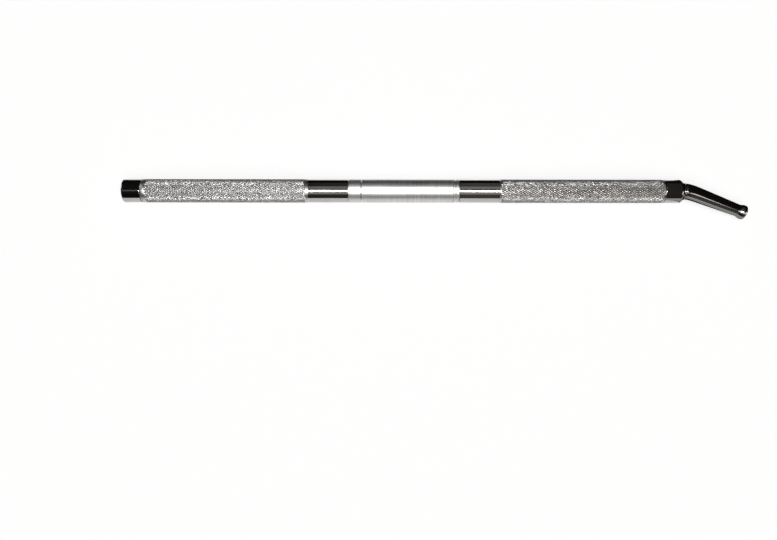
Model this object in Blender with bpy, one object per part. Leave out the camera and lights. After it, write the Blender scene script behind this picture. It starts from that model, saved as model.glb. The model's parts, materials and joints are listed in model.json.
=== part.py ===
"""Suction type fuel sampler: a slim steel tool that works like a syringe.

The rear half is a knurled pull handle on a long piston rod. The front half is a knurled barrel
with a bent spout that swivels in a gland. Pulling the handle back draws fuel in through the spout.

Stations are distances in millimetres along the tool's axis, from the end cap's flat face.
The tool lies on a surface at Z = 0 along +X, with its spout bent towards -Y and its lip resting
on the same surface. The origin is at the middle of its footprint.
"""

import math

import bmesh
import bpy
from mathutils import Euler, Vector

MM = 0.001
GAP = 0.3
MERGE_DISTANCE = 0.001 * MM

# Driving dimensions, in millimetres.
TUBE_RADIUS = 7.94
TUBE_WALL = 1.0
BORE_RADIUS = TUBE_RADIUS - TUBE_WALL
KNURL_RADIUS = TUBE_RADIUS + 0.1
SPIGOT_RADIUS = BORE_RADIUS - 0.34
ROD_RADIUS = 3.0
ROD_HOLE = ROD_RADIUS + GAP
EDGE_BREAK = 0.25
SMALL_CHAMFER = 0.3
SPIGOT_CHAMFER = 0.4
GRIP_CHAMFER = 0.6

# Stations of the seams that show on the outside.
CAP_SEAM = 12.5
REAR_GRIP_END = 125.2
FERRULE_REAR = 154.0
FERRULE_FRONT = 162.5
SLEEVE_REAR = 163.0
SLEEVE_FRONT = 225.1
RING_FRONT = 229.5
FRONT_GRIP_START = 257.3
NOSE_REAR = 369.6
NOSE_CHAMFER = 380.8
NOSE_FRONT = 383.0
COLLAR_FRONT = 384.2

# The spout, measured along its centre line from its shoulder.
SPOUT_SHOULDER = COLLAR_FRONT + GAP
SPOUT_LENGTH = 44.3
SPOUT_ANGLE = math.radians(20.8)
SPOUT_EASE = 3.0
SPOUT_BASE_RADIUS = 5.5
SPOUT_WALL = 0.95
SPOUT_TIP_RADIUS = 4.05
LIP_RADIUS = 5.05
LIP_LENGTH = 5.0
LIP_CROWN = 1.4
LIP_FACE_RADIUS = LIP_RADIUS - 0.7
MOUTH_RADIUS = 3.55
BEND_STATIONS = (0.4, 1.3, 2.3, 3.4, 4.7, 6.4, 8.6, 11.8, 17.0, 24.0, 31.5)
LIP_STATIONS = (0.0, 1.2, 2.2, 3.2)
BORE_EASE = 4.0
SHANK_RADIUS = 4.3
SHANK_BORE = 3.3
SHANK_REAR = 363.0
CLIP_OFFSET = 1.4
CLIP_THICKNESS = 0.8
CLIP_GROOVE_DEPTH = 0.45
CLIP_RADIUS_MARGIN = 0.4

# The plunger's stack, from the rod's shoulder forward.
ROD_SHOULDER = 342.7
PLATE_THICKNESS = 1.2
CUP_THICKNESS = 4.0
SPACER_THICKNESS = 3.0
NUT_THICKNESS = 2.8
NUT_ACROSS_FLATS = 7.0
STUD_RADIUS = 2.0
STUD_HOLE = STUD_RADIUS + GAP
CUP_RADIUS = BORE_RADIUS - GAP
PLATE_RADIUS = 6.2
CUP_BASE = 1.8
CUP_LIP = 0.5
CUP_HOLLOW = 1.4

# The nose fitting's inside, from the rear.
NOSE_SPIGOT_REAR = 361.6
NOSE_STEP = 366.6
NOSE_POCKET = 375.0
NOSE_REAR_BORE = 5.7
NOSE_BORE = SHANK_RADIUS + GAP
NOSE_POCKET_RADIUS = 5.6
PACKING_LENGTH = 3.0

# The guide sleeve's inside.
SLEEVE_SPIGOT_FRONT = 240.6
SLEEVE_BORE = 4.6
SLEEVE_REAR_BORE = 5.3
BUSH_LENGTH = 13.0
BUSH_RADIUS = SLEEVE_BORE - GAP
WIPER_DEPTH = 4.6
WIPER_LIP_RADIUS = 4.2
WIPER_LIP_LENGTH = 1.4
RETAINER_OFFSET = 0.6
RETAINER_THICKNESS = 0.9
RETAINER_BORE = 3.9
BUFFER_LENGTH = 3.0
BUFFER_RADIUS = 6.2

# The rubber rings between spigots and tubes, and their grooves.
O_RING_THICKNESS = 1.0
O_RING_RADIUS = SPIGOT_RADIUS - O_RING_THICKNESS / 2 + 0.1
GROOVE_WIDTH = O_RING_THICKNESS + 2 * GAP
GROOVE_FLOOR = O_RING_RADIUS - O_RING_THICKNESS / 2 - GAP
CAP_GROOVE = 15.5
SLEEVE_GROOVE = 234.5
NOSE_GROOVE = 368.2

# The end cap, the ferrule and the lock ring.
CAP_CORNER = 0.7
CAP_SPIGOT_FRONT = 19.5
CAP_HOLE_REAR = 7.7
CAP_STUD_RADIUS = 2.5
FERRULE_SPIGOT = 8.0
RECESS_DEPTH = 1.4
RECESS_INNER = 4.1
RECESS_OUTER = 6.4
RING_GROOVE_START = 1.2
RING_GROOVE_END = 2.2
RING_GROOVE_DEPTH = 0.5
COLLAR_RADIUS = 5.75

OUTER_SIDES = 32
INNER_SIDES = 20


def clear_scene():
    for obj in list(bpy.data.objects):
        bpy.data.objects.remove(obj)


def make_material(name, color, metallic, roughness):
    material = bpy.data.materials.new(name)
    material.use_nodes = True
    shader = material.node_tree.nodes["Principled BSDF"]
    shader.inputs["Base Color"].default_value = (*color, 1.0)
    shader.inputs["Metallic"].default_value = metallic
    shader.inputs["Roughness"].default_value = roughness
    return material


def make_empty(name, location, parent=None, roll=0.0):
    empty = bpy.data.objects.new(name, None)
    bpy.context.scene.collection.objects.link(empty)
    empty.location = Vector(location) * MM
    empty.rotation_euler = Euler((roll, 0.0, 0.0))
    empty.parent = parent
    return empty


def spin_profile(outline, sides, turn):
    """The surface swept by an outline of (station, radius) points turned about X."""
    bm = bmesh.new()
    points = [bm.verts.new((station, 0.0, radius)) for station, radius in outline]
    solid = outline[0][1] == 0.0 and outline[-1][1] == 0.0
    full = math.isclose(turn, math.tau)
    if full:
        ends = points[1:] if solid else points[1:] + points[:1]
        swept = points + [bm.edges.new(pair) for pair in zip(points, ends)]
    else:
        swept = [bm.faces.new(points)]
    bmesh.ops.spin(
        bm,
        geom=swept,
        cent=(0.0, 0.0, 0.0),
        axis=(1.0, 0.0, 0.0),
        angle=turn,
        steps=sides,
        use_merge=full,
    )
    return bm


def finish_mesh(bm, name, material, parent, offset=0.0):
    """Makes the object, with its geometry measured from its parent's station."""
    bmesh.ops.remove_doubles(bm, verts=bm.verts, dist=MERGE_DISTANCE / MM)
    bmesh.ops.recalc_face_normals(bm, faces=bm.faces)
    for vert in bm.verts:
        vert.co.x -= offset
        vert.co *= MM
    mesh = bpy.data.meshes.new(name)
    bm.to_mesh(mesh)
    bm.free()
    mesh.shade_smooth()
    mesh.set_sharp_from_angle(angle=math.radians(35))
    mesh.materials.append(material)
    obj = bpy.data.objects.new(name, mesh)
    bpy.context.scene.collection.objects.link(obj)
    obj.parent = parent
    return obj


def turned(name, outline, material, parent, sides=OUTER_SIDES, turn=math.tau):
    """A turned piece. Its outline runs once round the section, or from axis to axis if it is solid."""
    offset = parent.get("station", 0.0)
    return finish_mesh(spin_profile(outline, sides, turn), name, material, parent, offset)


def chamfered_ring(rear, front, inner, outer, chamfer):
    """A ring's section with both of its outer edges broken."""
    return [
        (rear, inner),
        (rear, outer - chamfer),
        (rear + chamfer, outer),
        (front - chamfer, outer),
        (front, outer - chamfer),
        (front, inner),
    ]


def o_ring_section(station, radius, thickness, sides=8):
    """A round section, as the loop of points that a rubber ring is turned from."""
    steps = [math.tau * (step + 0.5) / sides for step in range(sides)]
    half = thickness / 2
    return [(station + half * math.cos(a), radius + half * math.sin(a)) for a in steps]


def groove(station, width, floor, outer):
    """A square groove in an outline that runs forward along its outer side."""
    rear = station - width / 2
    front = station + width / 2
    return [(rear, outer), (rear, floor), (front, floor), (front, outer)]


def build_handle(parts):
    """The rear half: a knurled tube closed by the end cap and the ferrule, and held on the rod."""
    steel, satin, rubber = parts["polished"], parts["satin"], parts["rubber"]
    handle = parts["handle_frame"]
    rounded = [
        (
            CAP_CORNER * (1 - math.sin(math.radians(angle))),
            TUBE_RADIUS - CAP_CORNER * (1 - math.cos(math.radians(angle))),
        )
        for angle in (90, 60, 30, 0)
    ]
    cap_front = CAP_SEAM - GAP / 2
    turned(
        "end_cap",
        [(0.0, 0.0)]
        + rounded
        + [(cap_front - EDGE_BREAK, TUBE_RADIUS), (cap_front, TUBE_RADIUS - EDGE_BREAK)]
        + [(cap_front, SPIGOT_RADIUS)]
        + groove(CAP_GROOVE, GROOVE_WIDTH, GROOVE_FLOOR, SPIGOT_RADIUS)
        + [(CAP_SPIGOT_FRONT - SPIGOT_CHAMFER, SPIGOT_RADIUS)]
        + [(CAP_SPIGOT_FRONT, SPIGOT_RADIUS - SPIGOT_CHAMFER)]
        + [(CAP_SPIGOT_FRONT, CAP_STUD_RADIUS + GAP), (CAP_HOLE_REAR, CAP_STUD_RADIUS + GAP)]
        + [(CAP_HOLE_REAR, 0.0)],
        steel,
        handle,
    )
    turned(
        "end_cap_o_ring",
        o_ring_section(CAP_GROOVE, O_RING_RADIUS, O_RING_THICKNESS),
        rubber,
        handle,
        INNER_SIDES,
    )
    rear = CAP_SEAM + GAP / 2
    front = FERRULE_REAR - GAP / 2
    turned(
        "handle_tube",
        [
            (rear, BORE_RADIUS),
            (rear, KNURL_RADIUS - GRIP_CHAMFER),
            (rear + GRIP_CHAMFER, KNURL_RADIUS),
            (REAR_GRIP_END - SMALL_CHAMFER, KNURL_RADIUS),
            (REAR_GRIP_END, TUBE_RADIUS),
            (front - EDGE_BREAK, TUBE_RADIUS),
            (front, TUBE_RADIUS - EDGE_BREAK),
            (front, BORE_RADIUS),
        ],
        steel,
        handle,
    )
    recess_floor = FERRULE_FRONT - RECESS_DEPTH
    rear = FERRULE_REAR + GAP / 2
    spigot_rear = FERRULE_REAR - FERRULE_SPIGOT
    turned(
        "handle_ferrule",
        [
            (spigot_rear, ROD_HOLE),
            (spigot_rear, SPIGOT_RADIUS - SPIGOT_CHAMFER),
            (spigot_rear + SPIGOT_CHAMFER, SPIGOT_RADIUS),
            (rear, SPIGOT_RADIUS),
            (rear, TUBE_RADIUS - EDGE_BREAK),
            (rear + EDGE_BREAK, TUBE_RADIUS),
            (FERRULE_FRONT - EDGE_BREAK, TUBE_RADIUS),
            (FERRULE_FRONT, TUBE_RADIUS - EDGE_BREAK),
            (FERRULE_FRONT, RECESS_OUTER),
            (recess_floor, RECESS_OUTER),
            (recess_floor, RECESS_INNER),
            (FERRULE_FRONT, RECESS_INNER),
            (FERRULE_FRONT, ROD_HOLE),
        ],
        satin,
        handle,
    )
    turned(
        "bumper_ring",
        chamfered_ring(
            recess_floor + GAP,
            SLEEVE_REAR - GAP,
            RECESS_INNER + GAP,
            RECESS_OUTER - GAP,
            SMALL_CHAMFER,
        ),
        rubber,
        handle,
        INNER_SIDES,
    )


def build_plunger(parts):
    """The piston rod, and the pieces clamped between its shoulder and the nut."""
    steel, brass, handle = parts["rod_steel"], parts["brass"], parts["handle_frame"]
    plate_rear = ROD_SHOULDER + GAP
    cup_rear = plate_rear + PLATE_THICKNESS + GAP
    spacer = cup_rear + CUP_THICKNESS + GAP
    cup_front = spacer + SPACER_THICKNESS + GAP
    plate_front = cup_front + CUP_THICKNESS + GAP
    nut = plate_front + PLATE_THICKNESS + GAP
    stud_end = nut + NUT_THICKNESS + 0.5
    cap_stud_end = CAP_SPIGOT_FRONT + GAP
    turned(
        "piston_rod",
        [
            (CAP_HOLE_REAR + GAP, 0.0),
            (CAP_HOLE_REAR + GAP, CAP_STUD_RADIUS - SMALL_CHAMFER),
            (CAP_HOLE_REAR + GAP + SMALL_CHAMFER, CAP_STUD_RADIUS),
            (cap_stud_end, CAP_STUD_RADIUS),
            (cap_stud_end, ROD_RADIUS),
            (ROD_SHOULDER, ROD_RADIUS),
            (ROD_SHOULDER, STUD_RADIUS),
            (stud_end - SMALL_CHAMFER, STUD_RADIUS),
            (stud_end, STUD_RADIUS - SMALL_CHAMFER),
            (stud_end, 0.0),
        ],
        steel,
        handle,
        INNER_SIDES,
    )
    for name, rear, thickness in (
        ("piston_plate_rear", plate_rear, PLATE_THICKNESS),
        ("piston_spacer", spacer, SPACER_THICKNESS),
        ("piston_plate_front", plate_front, PLATE_THICKNESS),
    ):
        section = chamfered_ring(rear, rear + thickness, STUD_HOLE, PLATE_RADIUS, 0.2)
        turned(name, section, brass, handle, INNER_SIDES)
    build_nut(nut, steel, handle)

    seal, seals = parts["seal"], parts["seal_frame"]
    turned(
        "cup_seal_rear",
        cup_section(cup_rear + CUP_THICKNESS, cup_rear),
        seal,
        seals,
        INNER_SIDES,
    )
    turned(
        "cup_seal_front",
        cup_section(cup_front, cup_front + CUP_THICKNESS),
        seal,
        seals,
        INNER_SIDES,
    )


def cup_section(base, lip):
    """A cup seal's section: a flat base with a lip that flares out to the barrel's bore."""
    way = math.copysign(1.0, lip - base)
    return [
        (base, STUD_HOLE),
        (base, CUP_RADIUS - CUP_LIP),
        (lip, CUP_RADIUS),
        (lip, CUP_RADIUS - CUP_LIP),
        (base + CUP_BASE * way, CUP_RADIUS - CUP_HOLLOW),
        (base + CUP_BASE * way, STUD_HOLE),
    ]


def build_nut(rear, material, parent):
    """A hexagon nut: a turned blank a little narrower than the corners, cut to six flats."""
    corner = NUT_ACROSS_FLATS / 2 / math.cos(math.radians(30))
    blank = chamfered_ring(rear, rear + NUT_THICKNESS, STUD_HOLE, corner - 0.1, SMALL_CHAMFER)
    nut = turned("piston_nut", blank, material, parent, INNER_SIDES)
    bm = bmesh.new()
    bmesh.ops.create_cone(
        bm,
        cap_ends=True,
        segments=6,
        radius1=corner * MM,
        radius2=corner * MM,
        depth=2 * NUT_THICKNESS * MM,
    )
    mesh = bpy.data.meshes.new("nut_flats")
    bm.to_mesh(mesh)
    bm.free()
    flats = bpy.data.objects.new("nut_flats", mesh)
    bpy.context.scene.collection.objects.link(flats)
    flats.parent = parent
    flats.location.x = (rear + NUT_THICKNESS / 2 - parent.get("station", 0.0)) * MM
    flats.rotation_euler = Euler((0.0, math.radians(90), 0.0))
    flats.hide_render = True
    flats.display_type = "WIRE"
    cut = nut.modifiers.new("six_flats", "BOOLEAN")
    cut.operation = "INTERSECT"
    cut.object = flats


def build_guide_sleeve(parts):
    """The sleeve that guides the rod, with its bushes, wiper, lock ring and stop buffer."""
    satin, rubber, bronze = parts["satin"], parts["rubber"], parts["bronze"]
    barrel = parts["barrel_frame"]
    wiper_floor = SLEEVE_REAR + WIPER_DEPTH
    turned(
        "guide_sleeve",
        [
            (SLEEVE_REAR, SLEEVE_REAR_BORE),
            (SLEEVE_REAR, TUBE_RADIUS - EDGE_BREAK),
            (SLEEVE_REAR + EDGE_BREAK, TUBE_RADIUS),
            (SLEEVE_FRONT - EDGE_BREAK, TUBE_RADIUS),
            (SLEEVE_FRONT, TUBE_RADIUS - EDGE_BREAK),
            (SLEEVE_FRONT, SPIGOT_RADIUS),
        ]
        + groove(SLEEVE_GROOVE, GROOVE_WIDTH, GROOVE_FLOOR, SPIGOT_RADIUS)
        + [
            (SLEEVE_SPIGOT_FRONT - SPIGOT_CHAMFER, SPIGOT_RADIUS),
            (SLEEVE_SPIGOT_FRONT, SPIGOT_RADIUS - SPIGOT_CHAMFER),
            (SLEEVE_SPIGOT_FRONT, SLEEVE_BORE),
            (wiper_floor, SLEEVE_BORE),
            (wiper_floor, SLEEVE_REAR_BORE),
        ],
        satin,
        barrel,
    )
    turned(
        "sleeve_o_ring",
        o_ring_section(SLEEVE_GROOVE, O_RING_RADIUS, O_RING_THICKNESS),
        rubber,
        barrel,
        INNER_SIDES,
    )
    retainer_rear = SLEEVE_REAR + RETAINER_OFFSET
    retainer_front = retainer_rear + RETAINER_THICKNESS
    ring_radius = SLEEVE_REAR_BORE - GAP
    turned(
        "wiper_retainer",
        chamfered_ring(retainer_rear, retainer_front, RETAINER_BORE, ring_radius, 0.1),
        parts["rod_steel"],
        barrel,
        INNER_SIDES,
        math.radians(320),
    )
    turned(
        "rod_wiper",
        [
            (retainer_front + GAP, ROD_HOLE),
            (retainer_front + GAP, ROD_HOLE + 0.5),
            (retainer_front + WIPER_LIP_LENGTH, WIPER_LIP_RADIUS),
            (retainer_front + WIPER_LIP_LENGTH, ring_radius),
            (wiper_floor - GAP, ring_radius),
            (wiper_floor - GAP, ROD_HOLE),
        ],
        rubber,
        barrel,
        INNER_SIDES,
    )
    for name, rear in (
        ("guide_bush_rear", wiper_floor + GAP),
        ("guide_bush_front", SLEEVE_SPIGOT_FRONT - GAP - BUSH_LENGTH),
    ):
        section = chamfered_ring(rear, rear + BUSH_LENGTH, ROD_HOLE, BUSH_RADIUS, 0.2)
        turned(name, section, bronze, barrel, INNER_SIDES)
    turned(
        "stop_buffer",
        chamfered_ring(
            SLEEVE_SPIGOT_FRONT + GAP,
            SLEEVE_SPIGOT_FRONT + GAP + BUFFER_LENGTH,
            ROD_HOLE + GAP,
            BUFFER_RADIUS,
            SMALL_CHAMFER,
        ),
        rubber,
        barrel,
        INNER_SIDES,
    )
    rear = SLEEVE_FRONT + GAP
    front = RING_FRONT - GAP / 2
    floor = TUBE_RADIUS - RING_GROOVE_DEPTH
    turned(
        "lock_ring",
        [
            (rear, SPIGOT_RADIUS + GAP),
            (rear, TUBE_RADIUS - 0.15),
            (rear + 0.15, TUBE_RADIUS),
            (rear + RING_GROOVE_START, TUBE_RADIUS),
            (rear + RING_GROOVE_START, floor),
            (rear + RING_GROOVE_END, floor),
            (rear + RING_GROOVE_END, TUBE_RADIUS),
            (front - 0.5, TUBE_RADIUS),
            (front - 0.15, TUBE_RADIUS - 0.15),
            (front, TUBE_RADIUS - 0.5),
            (front, SPIGOT_RADIUS + GAP),
        ],
        satin,
        barrel,
    )


def build_barrel(parts):
    """The knurled barrel, and the nose fitting with its seals and gland ring."""
    steel, rubber, barrel = parts["polished"], parts["rubber"], parts["barrel_frame"]
    rear = RING_FRONT + GAP / 2
    front = NOSE_REAR - GAP / 2
    turned(
        "barrel_tube",
        [
            (rear, BORE_RADIUS),
            (rear, TUBE_RADIUS - EDGE_BREAK),
            (rear + EDGE_BREAK, TUBE_RADIUS),
            (FRONT_GRIP_START - SMALL_CHAMFER, TUBE_RADIUS),
            (FRONT_GRIP_START, KNURL_RADIUS),
            (front - SPIGOT_CHAMFER, KNURL_RADIUS),
            (front, KNURL_RADIUS - SPIGOT_CHAMFER),
            (front, BORE_RADIUS),
        ],
        steel,
        barrel,
    )
    turned(
        "nose_fitting",
        [
            (NOSE_SPIGOT_REAR, NOSE_REAR_BORE),
            (NOSE_SPIGOT_REAR, SPIGOT_RADIUS - SMALL_CHAMFER),
            (NOSE_SPIGOT_REAR + SMALL_CHAMFER, SPIGOT_RADIUS),
        ]
        + groove(NOSE_GROOVE, GROOVE_WIDTH, GROOVE_FLOOR, SPIGOT_RADIUS)
        + [
            (NOSE_REAR + GAP / 2, SPIGOT_RADIUS),
            (NOSE_REAR + GAP / 2, TUBE_RADIUS - EDGE_BREAK),
            (NOSE_REAR + GAP / 2 + EDGE_BREAK, TUBE_RADIUS),
            (NOSE_CHAMFER - 0.5, TUBE_RADIUS),
            (NOSE_CHAMFER + 0.35, TUBE_RADIUS - 0.25),
            (NOSE_FRONT, NOSE_POCKET_RADIUS + 0.3),
            (NOSE_FRONT, NOSE_POCKET_RADIUS),
            (NOSE_POCKET, NOSE_POCKET_RADIUS),
            (NOSE_POCKET, NOSE_BORE),
            (NOSE_STEP, NOSE_BORE),
            (NOSE_STEP, NOSE_REAR_BORE),
        ],
        steel,
        barrel,
    )
    turned(
        "nose_o_ring",
        o_ring_section(NOSE_GROOVE, O_RING_RADIUS, O_RING_THICKNESS),
        rubber,
        barrel,
        INNER_SIDES,
    )
    packing_front = NOSE_POCKET + PACKING_LENGTH
    thread_radius = NOSE_POCKET_RADIUS - GAP
    turned(
        "spout_packing",
        chamfered_ring(NOSE_POCKET + GAP, packing_front, NOSE_BORE, thread_radius, 0.2),
        parts["seal"],
        barrel,
        INNER_SIDES,
    )
    collar_rear = NOSE_FRONT + GAP
    turned(
        "gland_ring",
        [
            (packing_front + GAP, NOSE_BORE),
            (packing_front + GAP, thread_radius),
            (collar_rear, thread_radius),
            (collar_rear, COLLAR_RADIUS - 0.1),
            (collar_rear + 0.1, COLLAR_RADIUS),
            (COLLAR_FRONT - SMALL_CHAMFER, COLLAR_RADIUS),
            (COLLAR_FRONT, COLLAR_RADIUS - SMALL_CHAMFER),
            (COLLAR_FRONT, NOSE_BORE),
        ],
        steel,
        barrel,
    )


def spout_heading(distance):
    """How far the spout has turned from the barrel's axis: it bends early and then runs straight."""
    return SPOUT_ANGLE * (1 - math.exp(-max(distance, 0.0) / SPOUT_EASE))


def spout_centre(distance, steps_per_mm=8):
    """The centre line's point, as (forward, sideways) from the spout's shoulder."""
    if distance <= 0:
        return distance, 0.0
    count = math.ceil(distance * steps_per_mm)
    step = distance / count
    headings = [spout_heading(step * (index + 0.5)) for index in range(count)]
    forward = sum(math.cos(angle) for angle in headings) * step
    sideways = sum(math.sin(angle) for angle in headings) * step
    return forward, sideways


def spout_outer_radius(distance):
    """A straight taper to the tip, which flares into the rolled lip."""
    taper = SPOUT_BASE_RADIUS + (SPOUT_TIP_RADIUS - SPOUT_BASE_RADIUS) * distance / SPOUT_LENGTH
    flare = min(max((distance - SPOUT_LENGTH + LIP_LENGTH) / (LIP_LENGTH * 0.6), 0.0), 1.0)
    return taper + (LIP_RADIUS - taper) * flare * flare * (3 - 2 * flare)


def build_spout(parts):
    """The bent spout with its shank, and the clip and washer that hold it in the nose."""
    steel, spout = parts["polished"], parts["spout_frame"]
    clip_rear = SHANK_REAR + CLIP_OFFSET
    clip_front = clip_rear + CLIP_THICKNESS
    clip_floor = SHANK_RADIUS - CLIP_GROOVE_DEPTH
    clip_radius = NOSE_REAR_BORE - CLIP_RADIUS_MARGIN
    bore_base = SPOUT_BASE_RADIUS - SPOUT_WALL
    bend = list(BEND_STATIONS)
    lip = [SPOUT_LENGTH - LIP_LENGTH + station for station in LIP_STATIONS]
    rim = [
        (SPOUT_LENGTH - LIP_CROWN, LIP_RADIUS),
        (SPOUT_LENGTH - LIP_CROWN * 0.5, LIP_RADIUS - 0.11),
        (SPOUT_LENGTH - LIP_CROWN * 0.13, LIP_RADIUS - 0.4),
        (SPOUT_LENGTH, LIP_FACE_RADIUS),
    ]
    outside = [(distance, spout_outer_radius(distance)) for distance in bend + lip] + rim

    def bore_radius(distance):
        opening = min(max((distance - bend[0]) / BORE_EASE, 0.0), 1.0)
        taper = bore_base + (MOUTH_RADIUS - bore_base) * distance / SPOUT_LENGTH
        return SHANK_BORE + (taper - SHANK_BORE) * opening

    inside = [(distance, bore_radius(distance)) for distance in [SPOUT_LENGTH] + bend[::-1]]
    shank_rear = SHANK_REAR - SPOUT_SHOULDER
    clip_groove = [
        (clip_rear - GAP - SPOUT_SHOULDER, SHANK_RADIUS),
        (clip_rear - GAP - SPOUT_SHOULDER, clip_floor),
        (clip_front + GAP - SPOUT_SHOULDER, clip_floor),
        (clip_front + GAP - SPOUT_SHOULDER, SHANK_RADIUS),
    ]
    outline = (
        [(shank_rear, SHANK_BORE), (shank_rear, SHANK_RADIUS)]
        + clip_groove
        + [(0.0, SHANK_RADIUS), (0.0, SPOUT_BASE_RADIUS - SMALL_CHAMFER)]
        + outside
        + inside
    )
    bm = spin_profile(outline, OUTER_SIDES, math.tau)
    for vert in bm.verts:
        distance, across, up = vert.co
        forward, sideways = spout_centre(distance)
        turn = spout_heading(distance)
        vert.co = (
            forward + across * math.sin(turn),
            across * math.cos(turn) - sideways,
            up,
        )
    finish_mesh(bm, "spout_tube", steel, spout)
    turned(
        "spout_clip",
        chamfered_ring(clip_rear, clip_front, clip_floor + GAP, clip_radius, 0.1),
        parts["rod_steel"],
        spout,
        INNER_SIDES,
        math.radians(310),
    )
    turned(
        "thrust_washer",
        chamfered_ring(clip_front + GAP, NOSE_STEP - GAP, NOSE_BORE, clip_radius, 0.1),
        parts["seal"],
        spout,
        INNER_SIDES,
    )


def spout_droop():
    """How far the bend rolls below level before the lip rests on the surface, like the barrel."""
    sideways = spout_centre(SPOUT_LENGTH - LIP_CROWN)[1]
    return math.asin((KNURL_RADIUS - LIP_RADIUS) / sideways)


def stand_on_origin(root):
    """Moves the whole tool so that the origin is the middle of its footprint, on the surface."""
    bpy.context.view_layer.update()
    corners = [
        obj.matrix_world @ vert.co
        for obj in bpy.context.scene.objects
        if obj.type == "MESH" and not obj.hide_render
        for vert in obj.data.vertices
    ]
    low = Vector(min(corner[axis] for corner in corners) for axis in range(3))
    high = Vector(max(corner[axis] for corner in corners) for axis in range(3))
    root.location -= Vector(((low.x + high.x) / 2, (low.y + high.y) / 2, low.z))
    bpy.context.view_layer.update()


def main():
    clear_scene()
    root = make_empty("tool_axis", (0.0, 0.0, 0.0))
    barrel_frame = make_empty("barrel_frame", (0.0, 0.0, 0.0), root)
    seal_frame = make_empty("seal_frame", (0.0, 0.0, 0.0), root)
    handle_frame = make_empty("handle_frame", (0.0, 0.0, 0.0), root)
    spout_frame = make_empty("spout_frame", (SPOUT_SHOULDER, 0.0, 0.0), root, spout_droop())
    spout_frame["station"] = SPOUT_SHOULDER
    parts = {
        "barrel_frame": barrel_frame,
        "seal_frame": seal_frame,
        "handle_frame": handle_frame,
        "spout_frame": spout_frame,
        "polished": make_material("polished_steel", (0.56, 0.55, 0.54), 1.0, 0.12),
        "satin": make_material("satin_steel", (0.78, 0.77, 0.75), 1.0, 0.38),
        "rod_steel": make_material("rod_steel", (0.62, 0.62, 0.62), 1.0, 0.18),
        "bronze": make_material("bearing_bronze", (0.55, 0.36, 0.16), 1.0, 0.4),
        "brass": make_material("turned_brass", (0.72, 0.53, 0.22), 1.0, 0.3),
        "rubber": make_material("black_rubber", (0.02, 0.02, 0.02), 0.0, 0.6),
        "seal": make_material("seal_plastic", (0.82, 0.82, 0.78), 0.0, 0.45),
    }
    build_handle(parts)
    build_plunger(parts)
    build_guide_sleeve(parts)
    build_barrel(parts)
    build_spout(parts)
    stand_on_origin(root)


main()
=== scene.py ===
"""The looks of the suction fuel sampler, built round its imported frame."""

import json
import math
import random

import bmesh
import bpy
from mathutils import Matrix, Quaternion, Vector


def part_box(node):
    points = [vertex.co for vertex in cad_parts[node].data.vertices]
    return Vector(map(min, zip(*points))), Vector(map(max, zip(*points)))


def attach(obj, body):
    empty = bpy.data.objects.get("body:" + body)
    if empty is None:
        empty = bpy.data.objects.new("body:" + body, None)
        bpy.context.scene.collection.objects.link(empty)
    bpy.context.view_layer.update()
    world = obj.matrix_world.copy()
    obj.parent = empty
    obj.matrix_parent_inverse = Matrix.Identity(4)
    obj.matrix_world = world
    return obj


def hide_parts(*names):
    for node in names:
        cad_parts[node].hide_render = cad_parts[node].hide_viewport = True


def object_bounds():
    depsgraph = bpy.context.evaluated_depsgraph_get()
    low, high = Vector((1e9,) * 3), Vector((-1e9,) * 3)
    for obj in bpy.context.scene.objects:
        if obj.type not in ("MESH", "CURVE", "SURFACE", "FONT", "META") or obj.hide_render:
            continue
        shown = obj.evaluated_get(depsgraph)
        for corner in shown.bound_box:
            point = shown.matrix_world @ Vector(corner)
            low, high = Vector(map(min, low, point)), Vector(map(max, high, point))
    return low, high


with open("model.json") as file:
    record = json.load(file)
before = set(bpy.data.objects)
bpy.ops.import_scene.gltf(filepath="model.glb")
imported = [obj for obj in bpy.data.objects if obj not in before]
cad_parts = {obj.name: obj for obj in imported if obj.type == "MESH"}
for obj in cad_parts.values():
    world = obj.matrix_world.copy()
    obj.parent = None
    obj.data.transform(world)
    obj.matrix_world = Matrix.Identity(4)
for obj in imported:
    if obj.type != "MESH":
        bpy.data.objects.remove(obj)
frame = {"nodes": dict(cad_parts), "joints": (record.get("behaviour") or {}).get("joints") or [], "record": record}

cad_low, cad_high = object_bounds()

MM = 0.001

# The tool's axis and its main radii, read from the frame.
rod_low, rod_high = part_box("piston_rod")
AXIS = (rod_low + rod_high) / 2
AXIS.x = 0.0
GAP = 0.3 * MM


def span(node):
    """Where a node starts and ends along the tool's axis."""
    low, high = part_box(node)
    return low.x, high.x


def outer_radius(node):
    low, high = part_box(node)
    return (high.z - low.z) / 2


TUBE_RADIUS = outer_radius("guide_sleeve")
KNURL_RADIUS = outer_radius("barrel_tube")
ROD_RADIUS = outer_radius("piston_rod")
BORE_RADIUS = TUBE_RADIUS - 1.0 * MM
SPIGOT_RADIUS = BORE_RADIUS - 0.34 * MM
ROD_HOLE = ROD_RADIUS + GAP

ROUND_SIDES = 112
SMALL_SIDES = 64
RING_SIDES = 72


# ---------------------------------------------------------------- materials


def new_material(name):
    material = bpy.data.materials.new(name)
    material.use_nodes = True
    tree = material.node_tree
    return material, tree, tree.nodes["Principled BSDF"]


def add_node(tree, kind, inputs=(), **settings):
    node = tree.nodes.new(kind)
    for key, value in settings.items():
        setattr(node, key, value)
    for key, value in dict(inputs).items():
        node.inputs[key].default_value = value
    return node


def own_coordinates(tree, scale):
    """The piece's own coordinates, stretched. Its X runs along the tool's axis."""
    place = add_node(tree, "ShaderNodeTexCoord")
    mapping = add_node(tree, "ShaderNodeMapping", {"Scale": scale})
    tree.links.new(place.outputs["Object"], mapping.inputs["Vector"])
    return mapping.outputs["Vector"]


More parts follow.
